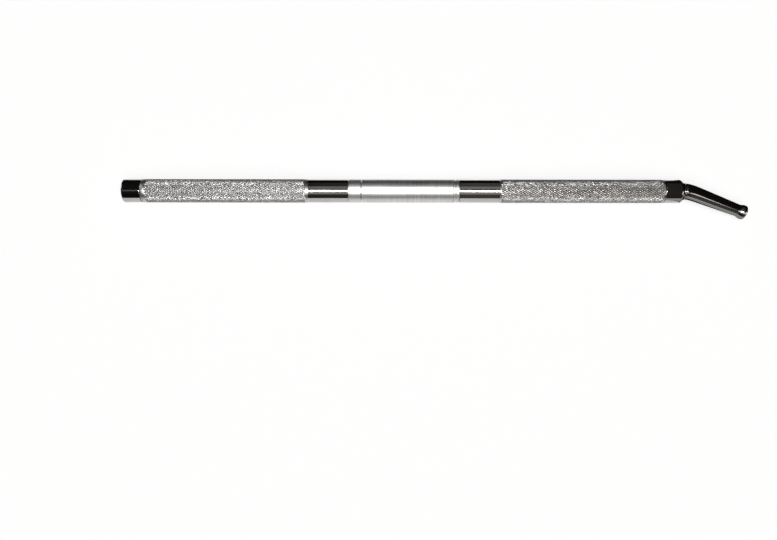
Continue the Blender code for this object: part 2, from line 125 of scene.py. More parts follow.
def noise(tree, scale, detail=3.0, roughness=0.5):
    """Noise with the given number of features per metre along X, Y and Z, from 0 to 1."""
    texture = add_node(
        tree, "ShaderNodeTexNoise", {"Scale": 1.0, "Detail": detail, "Roughness": roughness}
    )
    tree.links.new(own_coordinates(tree, scale), texture.inputs["Vector"])
    return texture.outputs["Fac"]


def spread(tree, value, low, high, from_low=0.3, from_high=0.7):
    """Maps a value's middle range onto low to high."""
    mapped = add_node(
        tree,
        "ShaderNodeMapRange",
        {"From Min": from_low, "From Max": from_high, "To Min": low, "To Max": high},
    )
    tree.links.new(value, mapped.inputs["Value"])
    return mapped.outputs["Result"]


def mix_colors(tree, factor, first, second):
    mix = add_node(tree, "ShaderNodeMix", data_type="RGBA")
    tree.links.new(factor, mix.inputs["Factor"])
    for socket, color in ((mix.inputs[6], first), (mix.inputs[7], second)):
        if isinstance(color, tuple):
            socket.default_value = (*color, 1.0)
        else:
            tree.links.new(color, socket)
    return mix.outputs[2]


def add_heights(tree, first, second, share):
    """First plus share times second."""
    total = add_node(tree, "ShaderNodeMath", operation="MULTIPLY_ADD")
    total.inputs[1].default_value = share
    tree.links.new(second, total.inputs[0])
    tree.links.new(first, total.inputs[2])
    return total.outputs["Value"]


def bump(tree, shader, height, depth, strength=1.0):
    node = add_node(tree, "ShaderNodeBump", {"Distance": depth, "Strength": strength})
    tree.links.new(height, node.inputs["Height"])
    tree.links.new(node.outputs["Normal"], shader.inputs["Normal"])


def metal(name, color, dark, roughness, marks, mark_depth, mottle=70.0, streaks=0.0):
    """Turned metal: faint marks round the axis, and a slow drift of tone and gloss.

    roughness is its range. marks is how many turning marks there are in a metre of length, and
    streaks is how much they show in the tone.
    """
    material, tree, shader = new_material(name)
    shader.inputs["Metallic"].default_value = 1.0
    cloud = noise(tree, (mottle, mottle * 2, mottle * 2))
    turning = noise(tree, (marks, marks / 60, marks / 60), detail=4.0, roughness=0.7)
    tone = spread(tree, cloud, 0.0, 1.0 - streaks)
    tone = add_heights(tree, tone, spread(tree, turning, 0.0, 1.0), streaks)
    tree.links.new(mix_colors(tree, tone, dark, color), shader.inputs["Base Color"])
    mixed = add_heights(tree, spread(tree, cloud, 0.0, 0.6), spread(tree, turning, 0.0, 1.0), 0.4)
    gloss = spread(tree, mixed, roughness[0], roughness[1], 0.0, 1.0)
    tree.links.new(gloss, shader.inputs["Roughness"])
    bump(tree, shader, turning, mark_depth)
    return material


def knurled_metal(name, crest, groove, roughness):
    """Knurled steel: bright rubbed crests, and darker grooves, with dirt and painted shade in them."""
    material, tree, shader = new_material(name)
    shader.inputs["Metallic"].default_value = 1.0
    depth = add_node(tree, "ShaderNodeAttribute", attribute_name="groove").outputs["Fac"]
    grime = noise(tree, (260.0, 420.0, 420.0), detail=5.0, roughness=0.65)
    # The vertex values darken each crest at random and put dirt and painted shade into the grooves.
    darkening = add_node(tree, "ShaderNodeMath", operation="MULTIPLY")
    tree.links.new(depth, darkening.inputs[0])
    tree.links.new(spread(tree, grime, 0.5, 1.0), darkening.inputs[1])
    tree.links.new(
        mix_colors(tree, darkening.outputs["Value"], crest, groove), shader.inputs["Base Color"]
    )
    tree.links.new(
        spread(tree, darkening.outputs["Value"], roughness[0], roughness[1], 0.0, 1.0),
        shader.inputs["Roughness"],
    )
    bump(tree, shader, noise(tree, (2600.0, 2600.0, 2600.0), detail=3.0), 0.006 * MM)
    return material


def dull(name, color, shade, roughness, grain, depth):
    """Rubber or plastic: a fine moulded grain and a slow change of shade."""
    material, tree, shader = new_material(name)
    cloud = noise(tree, (120.0, 120.0, 120.0))
    tree.links.new(
        mix_colors(tree, spread(tree, cloud, 0.0, 1.0), shade, color), shader.inputs["Base Color"]
    )
    fine = noise(tree, (grain, grain, grain), detail=4.0)
    tree.links.new(spread(tree, fine, roughness[0], roughness[1]), shader.inputs["Roughness"])
    bump(tree, shader, fine, depth)
    return material


MATERIALS = {
    "polished_steel": metal(
        "polished_steel", (0.47, 0.455, 0.44), (0.41, 0.395, 0.38), (0.07, 0.1), 5200.0, 0.0003 * MM
    ),
    "satin_steel": metal(
        "satin_steel",
        (0.72, 0.715, 0.705),
        (0.47, 0.465, 0.455),
        (0.39, 0.47),
        800.0,
        0.01 * MM,
        streaks=0.8,
    ),
    "rod_steel": metal(
        "rod_steel", (0.66, 0.66, 0.66), (0.58, 0.58, 0.585), (0.12, 0.22), 7000.0, 0.001 * MM
    ),
    "bearing_bronze": metal(
        "bearing_bronze",
        (0.6, 0.38, 0.17),
        (0.42, 0.25, 0.11),
        (0.35, 0.55),
        4000.0,
        0.004 * MM,
        mottle=300.0,
    ),
    "turned_brass": metal(
        "turned_brass", (0.78, 0.57, 0.24), (0.66, 0.46, 0.19), (0.22, 0.36), 3000.0, 0.004 * MM
    ),
    "black_rubber": dull(
        "black_rubber", (0.03, 0.03, 0.031), (0.014, 0.014, 0.015), (0.48, 0.7), 5000.0, 0.01 * MM
    ),
    "seal_plastic": dull(
        "seal_plastic", (0.86, 0.86, 0.82), (0.76, 0.75, 0.7), (0.35, 0.5), 3000.0, 0.004 * MM
    ),
}
# Crest colour, and a near-black groove colour for dirt and painted shade in the grooves.
KNURLED = knurled_metal("knurled_steel", (0.64, 0.63, 0.62), (0.08, 0.075, 0.07), (0.28, 0.58))


# ---------------------------------------------------------------- mesh tools


def rounded(corners):
    """A profile with its corners filleted. Each corner is (x, radius) or (x, radius, fillet)."""
    points = []
    count = len(corners)
    for index, corner in enumerate(corners):
        here = Vector(corner[:2])
        if len(corner) == 2:
            points.append(here)
            continue
        back = Vector(corners[index - 1][:2]) - here
        ahead = Vector(corners[(index + 1) % count][:2]) - here
        turn = back.angle(ahead)
        reach = corner[2] / math.tan(turn / 2)
        reach = min(reach, back.length * 0.49, ahead.length * 0.49)
        start, end = here + back.normalized() * reach, here + ahead.normalized() * reach
        steps = 4
        for step in range(steps + 1):
            share = step / steps
            points.append(start.lerp(here, share).lerp(here.lerp(end, share), share))
    return [(point.x, point.y) for point in points]


def finish_piece(bm, name, slot, body, nodes, materials=None, sharp=35.0):
    """Makes the object at the tool's axis, with its finish, its body and the nodes it replaces."""
    bmesh.ops.recalc_face_normals(bm, faces=bm.faces)
    mesh = bpy.data.meshes.new(name)
    bm.to_mesh(mesh)
    bm.free()
    mesh.shade_smooth()
    mesh.set_sharp_from_angle(angle=math.radians(sharp))
    for material in materials or [MATERIALS[slot]]:
        mesh.materials.append(material)
    piece = bpy.data.objects.new(name, mesh)
    bpy.context.scene.collection.objects.link(piece)
    piece.location = AXIS
    weighted = piece.modifiers.new("weighted_normals", "WEIGHTED_NORMAL")
    weighted.keep_sharp = True
    weighted.weight = 100
    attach(piece, body)
    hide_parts(*nodes)
    return piece


def spin(outline, sides=ROUND_SIDES, turn=math.tau):
    """The surface that a closed profile of (x, radius) points sweeps round the axis."""
    bm = bmesh.new()
    points = [bm.verts.new((x, 0.0, radius)) for x, radius in outline]
    solid = outline[0][1] == 0.0 and outline[-1][1] == 0.0
    full = math.isclose(turn, math.tau)
    if full:
        ends = points[1:] if solid else points[1:] + points[:1]
        swept = points + [bm.edges.new(pair) for pair in zip(points, ends)]
    else:
        swept = [bm.faces.new(points)]
    bmesh.ops.spin(
        bm,
        geom=swept,
        cent=(0.0, 0.0, 0.0),
        axis=(1.0, 0.0, 0.0),
        angle=turn,
        steps=sides,
        use_merge=full,
    )
    bmesh.ops.remove_doubles(bm, verts=bm.verts, dist=0.0005 * MM)
    return bm


def turned(name, corners, slot, body, nodes, sides=ROUND_SIDES, turn=math.tau):
    return finish_piece(spin(rounded(corners), sides, turn), name, slot, body, nodes)


# ---------------------------------------------------------------- knurled tubes

REAR_GRIP_LENGTH = 112.55 * MM
FRONT_GRIP_LENGTH = 112.15 * MM
KNURL_AROUND = 36
KNURL_PITCH = 2.44 * MM
KNURL_DEPTH = 0.36 * MM

# A diamond's crest and the foot of its bevels, as shares of its half width.
CREST_SHARE = 0.44
BEVEL_SHARE = 0.66
BEVEL_DEPTH = 0.07 * MM

# How far wear moves a crest (in half widths), lowers it and tilts it.
CREST_WANDER = 0.11
CREST_WEAR = 0.03 * MM
CREST_TILT = 0.035 * MM

# Darkening from 0 to 1, part dirt and part painted shade: on the cleanest crest, on the dirtiest
# crest and in the grooves of each grip, and how far a bevel is from crest to groove; then how much
# wear darkens where the knurling tool has run past the knurl.
REAR_DIRT_AND_SHADE = (0.36, 0.68, 0.72)
FRONT_DIRT_AND_SHADE = (0.0, 0.8, 1.0)
BEVEL_DIRT_AND_SHADE = 0.4
SCUFF = 0.45
REAR_SEED = 3
FRONT_SEED = 5
DIAMOND = ((-1, 0), (0, 1), (1, 0), (0, -1))


def ring_of_points(bm, layer, count, x, radius, scuff=0.0):
    ring = []
    for index in range(count):
        angle = math.tau * index / count
        vert = bm.verts.new((x, radius * math.sin(angle), radius * math.cos(angle)))
        vert[layer] = scuff
        ring.append(vert)
    return ring


def join_rings(bm, first, second):
    """A band of faces between two rings of the same number of points."""
    count = len(first)
    return [
        bm.faces.new((first[i], first[(i + 1) % count], second[(i + 1) % count], second[i]))
        for i in range(count)
    ]


def knurl(bm, layer, start, end, end_radii, grime, seed):
    """A band of raised diamonds from start to end. Returns its first and last rings and its faces.

    Grooves cross at every second point of a grid. Between them, each diamond rises on four flanks
    and four shallower bevels to a small crest, which wear has shifted, lowered and tilted a little.
    The outermost diamonds run out into the two end rings, whose radii are given. Its dirt-and-shade
    levels give how dark the cleanest crest, the dirtiest crest and the grooves are: random dirt on
    the crests, and dirt with painted shade in the grooves.
    """
    chance = random.Random(seed)
    columns = 2 * KNURL_AROUND
    rows = 2 * round((end - start) / KNURL_PITCH)
    step = (end - start) / rows

    def point(column, row, radius, depth):
        angle = math.tau * column / columns
        vert = bm.verts.new(
            (start + row * step, radius * math.sin(angle), radius * math.cos(angle))
        )
        vert[layer] = depth
        return vert

    # Groove points carry the grooves' dirt and painted shade, each crest a random darkening, and its bevels part
    # of the grooves' painted shade.
    grid = {}
    for row in range(rows + 1):
        edge = row in (0, rows)
        for column in range(columns):
            if edge:
                grid[column, row] = point(column, row, end_radii[row // rows], 0.0)
            elif (column + row) % 2 == 0:
                grid[column, row] = point(column, row, KNURL_RADIUS - KNURL_DEPTH, grime[2])
    faces = []
    for row in range(1, rows):
        for column in range((row + 1) % 2, columns, 2):
            aside, along = (chance.uniform(-CREST_WANDER, CREST_WANDER) for _ in range(2))
            roll, pitch = (chance.uniform(-CREST_TILT, CREST_TILT) for _ in range(2))
            top = KNURL_RADIUS - CREST_TILT - CREST_WEAR * chance.random()
            darkening = chance.uniform(grime[0], grime[1])
            rings = [[grid[(column + right) % columns, row + up] for right, up in DIAMOND]]
            for share, depth, shade in (
                (BEVEL_SHARE, BEVEL_DEPTH, darkening + BEVEL_DIRT_AND_SHADE * (grime[2] - darkening)),
                (CREST_SHARE, 0.0, darkening),
            ):
                rings.append(
                    [
                        point(
                            column + aside + share * right,
                            row + along + share * up,
                            top - depth + roll * right + pitch * up,
                            shade,
                        )
                        for right, up in DIAMOND
                    ]
                )
            faces.append(bm.faces.new(rings[-1]))
            for outer, inner in zip(rings, rings[1:]):
                faces += join_rings(bm, outer, inner)
    for row, next_row in ((0, 1), (rows, rows - 1)):
        for column in range(next_row % 2, columns, 2):
            tip = grid[column, next_row]
            for side in (-1, 1):
                near = grid[(column + side) % columns, row]
                faces.append(bm.faces.new((near, grid[column, row], tip)))
    first = [grid[column, 0] for column in range(columns)]
    last = [grid[column, rows] for column in range(columns)]
    return first, last, faces


def knurled_tube(
    name, body, node, before, knurl_start, knurl_end, after, end_radii, grime, seed
):
    """A tube whose outside is knurled between two stations.

    before and after are the plain profiles that lead from the bore to the knurl and back to it, as
    (x, radius) points. A third value is how far the knurling tool has scuffed the tube there.
    """
    bm = bmesh.new()
    layer = bm.verts.layers.float.new("groove")
    first, last, faces = knurl(bm, layer, knurl_start, knurl_end, end_radii, grime, seed)
    for face in faces:
        face.material_index = 1
    count = len(first)
    rear = [ring_of_points(bm, layer, count, *point) for point in before] + [first]
    front = [last] + [ring_of_points(bm, layer, count, *point) for point in after]
    for rings in (rear, front):
        for near, far in zip(rings, rings[1:]):
            scuffed = near[0][layer] + far[0][layer] > 0.0
            for face in join_rings(bm, near, far):
                face.material_index = 1 if scuffed else 0
    join_rings(bm, front[-1], rear[0])
    return finish_piece(
        bm, name, "polished_steel", body, [node], [MATERIALS["polished_steel"], KNURLED]
    )


# ---------------------------------------------------------------- the handle

EDGE = 0.18 * MM
SMALL_EDGE = 0.1 * MM


def make_end_cap():
    rear, spigot_end = span("end_cap")
    seam = span("handle_tube")[0] - GAP
    stud = span("piston_rod")[0] - GAP
    dimple, dimple_slope = 0.9 * MM, 0.45
    stud_hole = 2.8 * MM
    turned(
        "end_cap_fine",
        [
            (rear + dimple * dimple_slope, 0.0),
            (rear, dimple, SMALL_EDGE),
            (rear, TUBE_RADIUS, 0.8 * MM),
            (seam, TUBE_RADIUS, EDGE),
            (seam, SPIGOT_RADIUS, SMALL_EDGE),
            (spigot_end, SPIGOT_RADIUS, 0.4 * MM),
            (spigot_end, stud_hole, 0.2 * MM),
            (stud, stud_hole),
            (stud, 0.0),
        ],
        "polished_steel",
        "handle",
        ["end_cap"],
    )


def make_handle_tube():
    rear, front = span("handle_tube")
    grip_end = rear + REAR_GRIP_LENGTH
    chamfer = 0.55 * MM
    knurled_tube(
        "handle_tube_fine",
        "handle",
        "handle_tube",
        [
            (rear, BORE_RADIUS),
            (rear, KNURL_RADIUS - chamfer),
            (rear + 0.1 * MM, KNURL_RADIUS - chamfer * 0.6),
            (rear + chamfer, KNURL_RADIUS - 0.05 * MM, SCUFF),
            (rear + 2.3 * MM, KNURL_RADIUS - 0.02 * MM, SCUFF),
        ],
        rear + 2.5 * MM,
        grip_end - 0.3 * MM,
        [
            (grip_end, TUBE_RADIUS + 0.02 * MM, SCUFF),
            (grip_end + 0.7 * MM, TUBE_RADIUS, SCUFF),
            (grip_end + 1.5 * MM, TUBE_RADIUS, 0.0),
            (grip_end + 2.0 * MM, TUBE_RADIUS),
            (front - 0.3 * MM, TUBE_RADIUS),
            (front - 0.08 * MM, TUBE_RADIUS - 0.06 * MM),
            (front, TUBE_RADIUS - 0.2 * MM),
            (front, BORE_RADIUS),
        ],
        end_radii=(KNURL_RADIUS, KNURL_RADIUS),
        grime=REAR_DIRT_AND_SHADE,
        seed=REAR_SEED,
    )


def make_ferrule():
    spigot, front = span("handle_ferrule")
    rear = span("handle_tube")[1] + GAP
    groove_floor, groove_low, groove_high = front - 1.4 * MM, 4.1 * MM, 6.4 * MM
    turned(
        "handle_ferrule_fine",
        [
            (spigot, ROD_HOLE, 0.2 * MM),
            (spigot, SPIGOT_RADIUS, 0.4 * MM),
            (rear, SPIGOT_RADIUS, 0.05 * MM),
            (rear, TUBE_RADIUS, EDGE),
            (front, TUBE_RADIUS, EDGE * 0.7),
            (front, groove_high, SMALL_EDGE),
            (groove_floor, groove_high, SMALL_EDGE),
            (groove_floor, groove_low, SMALL_EDGE),
            (front, groove_low, SMALL_EDGE),
            (front, ROD_HOLE, 0.2 * MM),
        ],
        "satin_steel",
        "handle",
        ["handle_ferrule"],
    )
    low, high = span("bumper_ring")
    hole, rim = groove_low + GAP, groove_high - GAP
    turned(
        "bumper_ring_fine",
        [
            (low, hole, 0.2 * MM),
            (low, rim, 0.2 * MM),
            (high, rim, 0.5 * MM),
            (high, hole, 0.5 * MM),
        ],
        "black_rubber",
        "handle",
        ["bumper_ring"],
    )


def make_rod():
    rear, front = span("piston_rod")
    shoulder = span("piston_plate_rear")[0] - GAP
    stud_end = span("end_cap")[1] + GAP
    rear_stud, front_stud = 2.5 * MM, 2.0 * MM
    turned(
        "piston_rod_fine",
        [
            (rear, 0.0),
            (rear, rear_stud, 0.3 * MM),
            (stud_end, rear_stud),
            (stud_end, ROD_RADIUS, 0.15 * MM),
            (shoulder, ROD_RADIUS, SMALL_EDGE),
            (shoulder, front_stud),
            (front, front_stud, 0.3 * MM),
            (front, 0.0),
        ],
        "rod_steel",
        "handle",
        ["piston_rod"],
        SMALL_SIDES,
    )


# ---------------------------------------------------------------- the barrel


def make_guide_sleeve():
    rear, spigot = span("guide_sleeve")
    front = span("lock_ring")[0] - GAP
    counterbore, wiper_seat, bush_seat = rear + 4.6 * MM, 5.3 * MM, 4.6 * MM
    turned(
        "guide_sleeve_fine",
        [
            (rear, wiper_seat, 0.25 * MM),
            (rear, TUBE_RADIUS, EDGE * 0.7),
            (front, TUBE_RADIUS, EDGE),
            (front, SPIGOT_RADIUS, SMALL_EDGE),
            (spigot, SPIGOT_RADIUS, 0.4 * MM),
            (spigot, bush_seat, 0.2 * MM),
            (counterbore, bush_seat),
            (counterbore, wiper_seat),
        ],
        "satin_steel",
        "barrel",
        ["guide_sleeve"],
    )
    low, high = span("wiper_retainer")
    inside, outside = 3.9 * MM, wiper_seat - GAP
    turned(
        "wiper_retainer_fine",
        [
            (low, inside, SMALL_EDGE),
            (low, outside, SMALL_EDGE),
            (high, outside, SMALL_EDGE),
            (high, inside, SMALL_EDGE),
        ],
        "rod_steel",
        "barrel",
        ["wiper_retainer"],
        RING_SIDES,
        math.radians(320),
    )
    low, high = span("rod_wiper")
    lip_root = low + 1.1 * MM
    turned(
        "rod_wiper_fine",
        [
            (low, ROD_HOLE),
            (low, ROD_HOLE + 0.45 * MM, 0.15 * MM),
            (lip_root, 4.2 * MM, 0.3 * MM),
            (lip_root, outside, SMALL_EDGE),
            (high, outside, 0.2 * MM),
            (high, ROD_HOLE, SMALL_EDGE),
        ],
        "black_rubber",
        "barrel",
        ["rod_wiper"],
        RING_SIDES,
    )


def make_lock_ring():
    rear, front = span("lock_ring")
    cut, end, depth = rear + 1.2 * MM, rear + 2.2 * MM, 0.5 * MM
    turned(
        "lock_ring_fine",
        [
            (rear, SPIGOT_RADIUS + GAP),
            (rear, TUBE_RADIUS, EDGE),
            (cut, TUBE_RADIUS, SMALL_EDGE),
            (cut, TUBE_RADIUS - depth, SMALL_EDGE),
            (end, TUBE_RADIUS - depth, SMALL_EDGE),
            (end, TUBE_RADIUS, SMALL_EDGE),
            (front, TUBE_RADIUS, 0.5 * MM),
            (front, SPIGOT_RADIUS + GAP),
        ],
        "satin_steel",
        "barrel",
        ["lock_ring"],
    )


def make_barrel_tube():
    rear, front = span("barrel_tube")
    grip_start = front - FRONT_GRIP_LENGTH
    chamfer = 0.35 * MM
    knurled_tube(
        "barrel_tube_fine",
        "barrel",
        "barrel_tube",
        [
            (rear, BORE_RADIUS),
            (rear, TUBE_RADIUS - 0.2 * MM),
            (rear + 0.08 * MM, TUBE_RADIUS - 0.06 * MM),
            (rear + 0.3 * MM, TUBE_RADIUS),
            (grip_start - 0.6 * MM, TUBE_RADIUS),
            (grip_start - 0.35 * MM, TUBE_RADIUS - 0.2 * MM),
            (grip_start - 0.2 * MM, TUBE_RADIUS - 0.2 * MM),
            (grip_start + 0.1 * MM, KNURL_RADIUS - 0.02 * MM, SCUFF),
            (grip_start + 0.35 * MM, KNURL_RADIUS, SCUFF),
        ],
        grip_start + 0.5 * MM,
        front - chamfer - 0.1 * MM,
        [
            (front - 0.08 * MM, KNURL_RADIUS - chamfer * 0.85),
            (front, KNURL_RADIUS - chamfer),
            (front, BORE_RADIUS),
        ],
        end_radii=(KNURL_RADIUS, KNURL_RADIUS - chamfer * 0.7),
        grime=FRONT_DIRT_AND_SHADE,
        seed=FRONT_SEED,
    )


def make_nose():
    rear, front = span("nose_fitting")
    shoulder = span("barrel_tube")[1] + GAP
    cone = 2.2 * MM
    pocket = span("spout_packing")[0] - GAP
    step = span("thrust_washer")[1] + GAP
    face, gland_seat, shank_hole, clip_room = 5.9 * MM, 5.6 * MM, 4.6 * MM, 5.7 * MM
    turned(
        "nose_fitting_fine",
        [
            (rear, clip_room, SMALL_EDGE),
            (rear, SPIGOT_RADIUS, 0.3 * MM),
            (shoulder, SPIGOT_RADIUS, 0.05 * MM),
            (shoulder, TUBE_RADIUS, EDGE),
            (front - cone, TUBE_RADIUS, 1.3 * MM),
            (front, face, 0.12 * MM),
            (front, gland_seat, SMALL_EDGE),
            (pocket, gland_seat),
            (pocket, shank_hole),
            (step, shank_hole),
            (step, clip_room),
        ],
        "polished_steel",
        "barrel",
        ["nose_fitting"],
    )
    low, high = span("gland_ring")
    collar, collar_radius = front + GAP, 5.75 * MM
    turned(
        "gland_ring_fine",
        [
            (low, shank_hole, SMALL_EDGE),
            (low, gland_seat - GAP, 0.15 * MM),
            (collar, gland_seat - GAP),
            (collar, collar_radius, 0.12 * MM),
            (high, collar_radius, 0.35 * MM),
            (high, shank_hole, SMALL_EDGE),
        ],
        "polished_steel",
        "barrel",
        ["gland_ring"],
    )


# ---------------------------------------------------------------- the spout

SPOUT_LENGTH = 44.3 * MM
SPOUT_ANGLE = math.radians(20.8)
SPOUT_EASE = 3.0 * MM
SPOUT_BASE_RADIUS = 5.5 * MM
SPOUT_TIP_RADIUS = 4.05 * MM
LIP_RADIUS = 5.05 * MM
LIP_LENGTH = 5.0 * MM
LIP_CROWN = 1.4 * MM
LIP_FACE_RADIUS = LIP_RADIUS - 0.7 * MM
MOUTH_RADIUS = 3.55 * MM
SHANK_RADIUS = 4.3 * MM
SHANK_BORE = 3.3 * MM
SPOUT_WALL = 0.95 * MM
BORE_EASE = 4.4 * MM
FLARE_SHARE = 0.6
SPOUT_STATIONS = 48
LIP_STATIONS = 8


def spout_heading(distance):
    """How far the spout has turned from the barrel's axis: it bends early, then runs straight."""
    return SPOUT_ANGLE * (1 - math.exp(-max(distance, 0.0) / SPOUT_EASE))


def spout_centre(distance, steps_per_mm=8):
    """The centre line's point, as (forward, sideways) from the spout's shoulder."""
    if distance <= 0:
        return distance, 0.0
    count = math.ceil(distance / MM * steps_per_mm)
    step = distance / count
    headings = [spout_heading(step * (index + 0.5)) for index in range(count)]
    forward = sum(math.cos(angle) for angle in headings) * step
    sideways = sum(math.sin(angle) for angle in headings) * step
    return forward, sideways


def smooth_step(value):
    value = min(max(value, 0.0), 1.0)
    return value * value * (3 - 2 * value)


def spout_outer_radius(distance):
    """A straight taper to the tip, which flares into the rolled lip."""
    taper = SPOUT_BASE_RADIUS + (SPOUT_TIP_RADIUS - SPOUT_BASE_RADIUS) * distance / SPOUT_LENGTH
    flare = smooth_step((distance - SPOUT_LENGTH + LIP_LENGTH) / (LIP_LENGTH * FLARE_SHARE))
    return taper + (LIP_RADIUS - taper) * flare


def spout_bore_radius(distance):
    base = SPOUT_BASE_RADIUS - SPOUT_WALL
    taper = base + (MOUTH_RADIUS - base) * distance / SPOUT_LENGTH
    return SHANK_BORE + (taper - SHANK_BORE) * smooth_step(distance / BORE_EASE)


def make_spout():
    shoulder = next(j for j in frame["joints"] if j["name"] == "spout_swivel")["pos_m"][0]
    shank = span("spout_tube")[0] - shoulder
    crown = SPOUT_LENGTH - LIP_CROWN
    stations = [crown * (i / SPOUT_STATIONS) ** 1.4 for i in range(1, SPOUT_STATIONS)]
    lip = []
    for index in range(LIP_STATIONS + 1):
        angle = math.radians(90) * index / LIP_STATIONS
        lip.append(
            (
                crown + LIP_CROWN * math.sin(angle),
                LIP_FACE_RADIUS + (LIP_RADIUS - LIP_FACE_RADIUS) * math.cos(angle),
            )
        )
    mouth = [
        (SPOUT_LENGTH, MOUTH_RADIUS + 0.12 * MM),
        (SPOUT_LENGTH - 0.04 * MM, MOUTH_RADIUS + 0.04 * MM),
        (SPOUT_LENGTH - 0.14 * MM, MOUTH_RADIUS),
    ]
    root = [(0.0, SPOUT_BASE_RADIUS - 0.3 * MM), (0.12 * MM, SPOUT_BASE_RADIUS - 0.09 * MM)]
    outline = (
        [(shank, SHANK_BORE), (shank, SHANK_RADIUS), (0.0, SHANK_RADIUS)]
        + root
        + [(s, spout_outer_radius(s)) for s in stations if s > 0.3 * MM]
        + lip
        + mouth
        + [(s, spout_bore_radius(s)) for s in reversed(stations)]
        + [(0.0, SHANK_BORE)]
    )
    bm = spin(outline)
    droop = math.asin((AXIS.z - LIP_RADIUS) / spout_centre(crown)[1])
    roll = Matrix.Rotation(droop, 3, "X")
    for vert in bm.verts:
        distance, across, up = vert.co
        forward, sideways = spout_centre(distance)
        turn = spout_heading(distance)
        local = Vector(
            (forward + across * math.sin(turn), across * math.cos(turn) - sideways, up)
        )
        vert.co = roll @ local
        vert.co.x += shoulder
    finish_piece(bm, "spout_tube_fine", "polished_steel", "spout", ["spout_tube"])


# ---------------------------------------------------------------- carried-over pieces


def finish_hidden_pieces():
    """The seals, bushes and small parts inside keep their frame meshes and get their finishes."""
    for part in frame["record"]["subparts"]:
        node = frame["nodes"][part["node"]]
        if node.hide_render:
            continue
        for slot in node.material_slots:
            slot.material = MATERIALS[part["material_slot"]]


# ---------------------------------------------------------------- floor, light and camera


CAMERA_X = cad_low.x + 181.4 * MM
CAMERA_DISTANCE = 494.6 * MM
CAMERA_ELEVATION = math.radians(82.3)
CAMERA_ROLL = math.radians(0.079)
FIELD_OF_VIEW = math.radians(56.7)
SENSOR_WIDTH = 36.0
TOOL_ABOVE_CENTRE = 54.2 * MM

FLOOR_RADIUS = 6.0
FLOOR_GLOW = 0.74
FLOOR_LIGHT = 0.95
FLOOR_LIGHT_SPREAD = math.radians(70)
FLOOR_LIGHT_TILT = math.radians(18)

# The room's brightness by the sideways part of a direction: lightest at LIGHTEST_SIDE, and dark
# from ROOM_FADE's first distance on either side of it to its second.
LIGHTEST_SIDE = 0.13
ROOM_FADE = (0.04, 0.32)
ROOM_DARK = (0.008, 0.007, 0.006)
ROOM_LIGHT = (0.085, 0.082, 0.078)
BACKDROP = (0.985, 0.985, 0.985)

# The flag is a dark card behind the tool that paints shade into the floor's reflection in the metal.
FLAG_BEHIND = 28 * MM
FLAG_HEIGHT = 22 * MM
FLAG_REACH = 400 * MM
CARD_HEIGHT = 0.2 * MM
CARD_START = 1 * MM
CARD_END = 150 * MM

# The floor cards, which paint shade into the nose's and the spout's reflections: name, near and far
# edge from the tool's axis, and brightness.
FLOOR_CARDS = (
    ("nose_card", -16 * MM, 28 * MM, 0.0),
    ("spout_card", -110 * MM, -16 * MM, 0.45),
)

LAMP_REACH = 620 * MM
DAYLIGHT = (0.985, 0.99, 1.0)
SOFT_WHITE = (1.0, 0.98, 0.965)
WARM_WHITE = (1.0, 0.97, 0.94)
CREAM = (1.0, 0.97, 0.95)

# The strips above the tool: lean and spread in degrees, length, radiance, colour and shift.
STRIPS = (
    ("key_left", 13.5, 10.0, 0.29, 32.0, DAYLIGHT, -0.155),
    ("key_right", 13.5, 10.0, 0.24, 27.0, SOFT_WHITE, 0.11),
    ("key_tail", 12.0, 6.0, 0.3, 0.2, WARM_WHITE, -0.42),
    ("key_skirt", 34.0, 24.0, 0.6, 0.35, WARM_WHITE, 0.0),
    ("ceiling_fill", -19.0, 26.0, 0.6, 0.22, CREAM, 0.0),
)
SATIN_STRIP = ("key_satin", -9.0, 14.0, 0.26, 8.0, (1.0, 1.0, 1.0), 0.0)
SATIN_PIECES = ("handle_ferrule_fine", "guide_sleeve_fine", "lock_ring_fine")

# The square lamps beside the tool: place from its middle, size, radiance and colour.
SIDE_LAMPS = (
    ("cool_side", (-0.75, 0.35, 0.5), 0.4, 2.4, (0.82, 0.93, 1.0)),
    ("warm_side", (0.8, -0.35, 0.5), 0.4, 3.0, (1.0, 0.94, 0.9)),
)
SPOUT_LAMP = (0.4, -0.35, 0.6)
SPOUT_LAMP_TARGET = (0.22, 0.0, 0.0)
SPOUT_LAMP_SIZE = 0.16
SPOUT_LAMP_RADIANCE = 1.7
SPOUT_LAMP_COLOR = (1.0, 0.98, 0.95)


def make_floor():
    mesh = bpy.data.meshes.new("floor")
    bm = bmesh.new()
    bmesh.ops.create_circle(bm, cap_ends=True, segments=96, radius=FLOOR_RADIUS)
    bm.to_mesh(mesh)
    bm.free()
    floor = bpy.data.objects.new("floor", mesh)
    bpy.context.scene.collection.objects.link(floor)
    material, _, shader = new_material("pale_floor")
    shader.inputs["Base Color"].default_value = (0.8, 0.8, 0.795, 1.0)
    shader.inputs["Roughness"].default_value = 0.9
    shader.inputs["Specular IOR Level"].default_value = 0.1
    shader.inputs["Emission Color"].default_value = (1.0, 1.0, 1.0, 1.0)
    shader.inputs["Emission Strength"].default_value = FLOOR_GLOW
    mesh.materials.append(material)


def card(name, corners, shade):
    """A flat card of one brightness, which only reflections show: painted shade in the metal's reflections."""
    mesh = bpy.data.meshes.new(name)
    mesh.from_pydata(corners, [], [(0, 1, 2, 3)])
    flat = bpy.data.objects.new(name, mesh)
    bpy.context.scene.collection.objects.link(flat)
    material, _, shader = new_material(name)
    shader.inputs["Base Color"].default_value = (0.01, 0.01, 0.01, 1.0)
    shader.inputs["Roughness"].default_value = 1.0
    shader.inputs["Specular IOR Level"].default_value = 0.0
    shader.inputs["Emission Color"].default_value = (1.0, 1.0, 1.0, 1.0)
    shader.inputs["Emission Strength"].default_value = shade
    mesh.materials.append(material)
    flat.visible_camera = False
    flat.visible_diffuse = False
    flat.visible_shadow = False


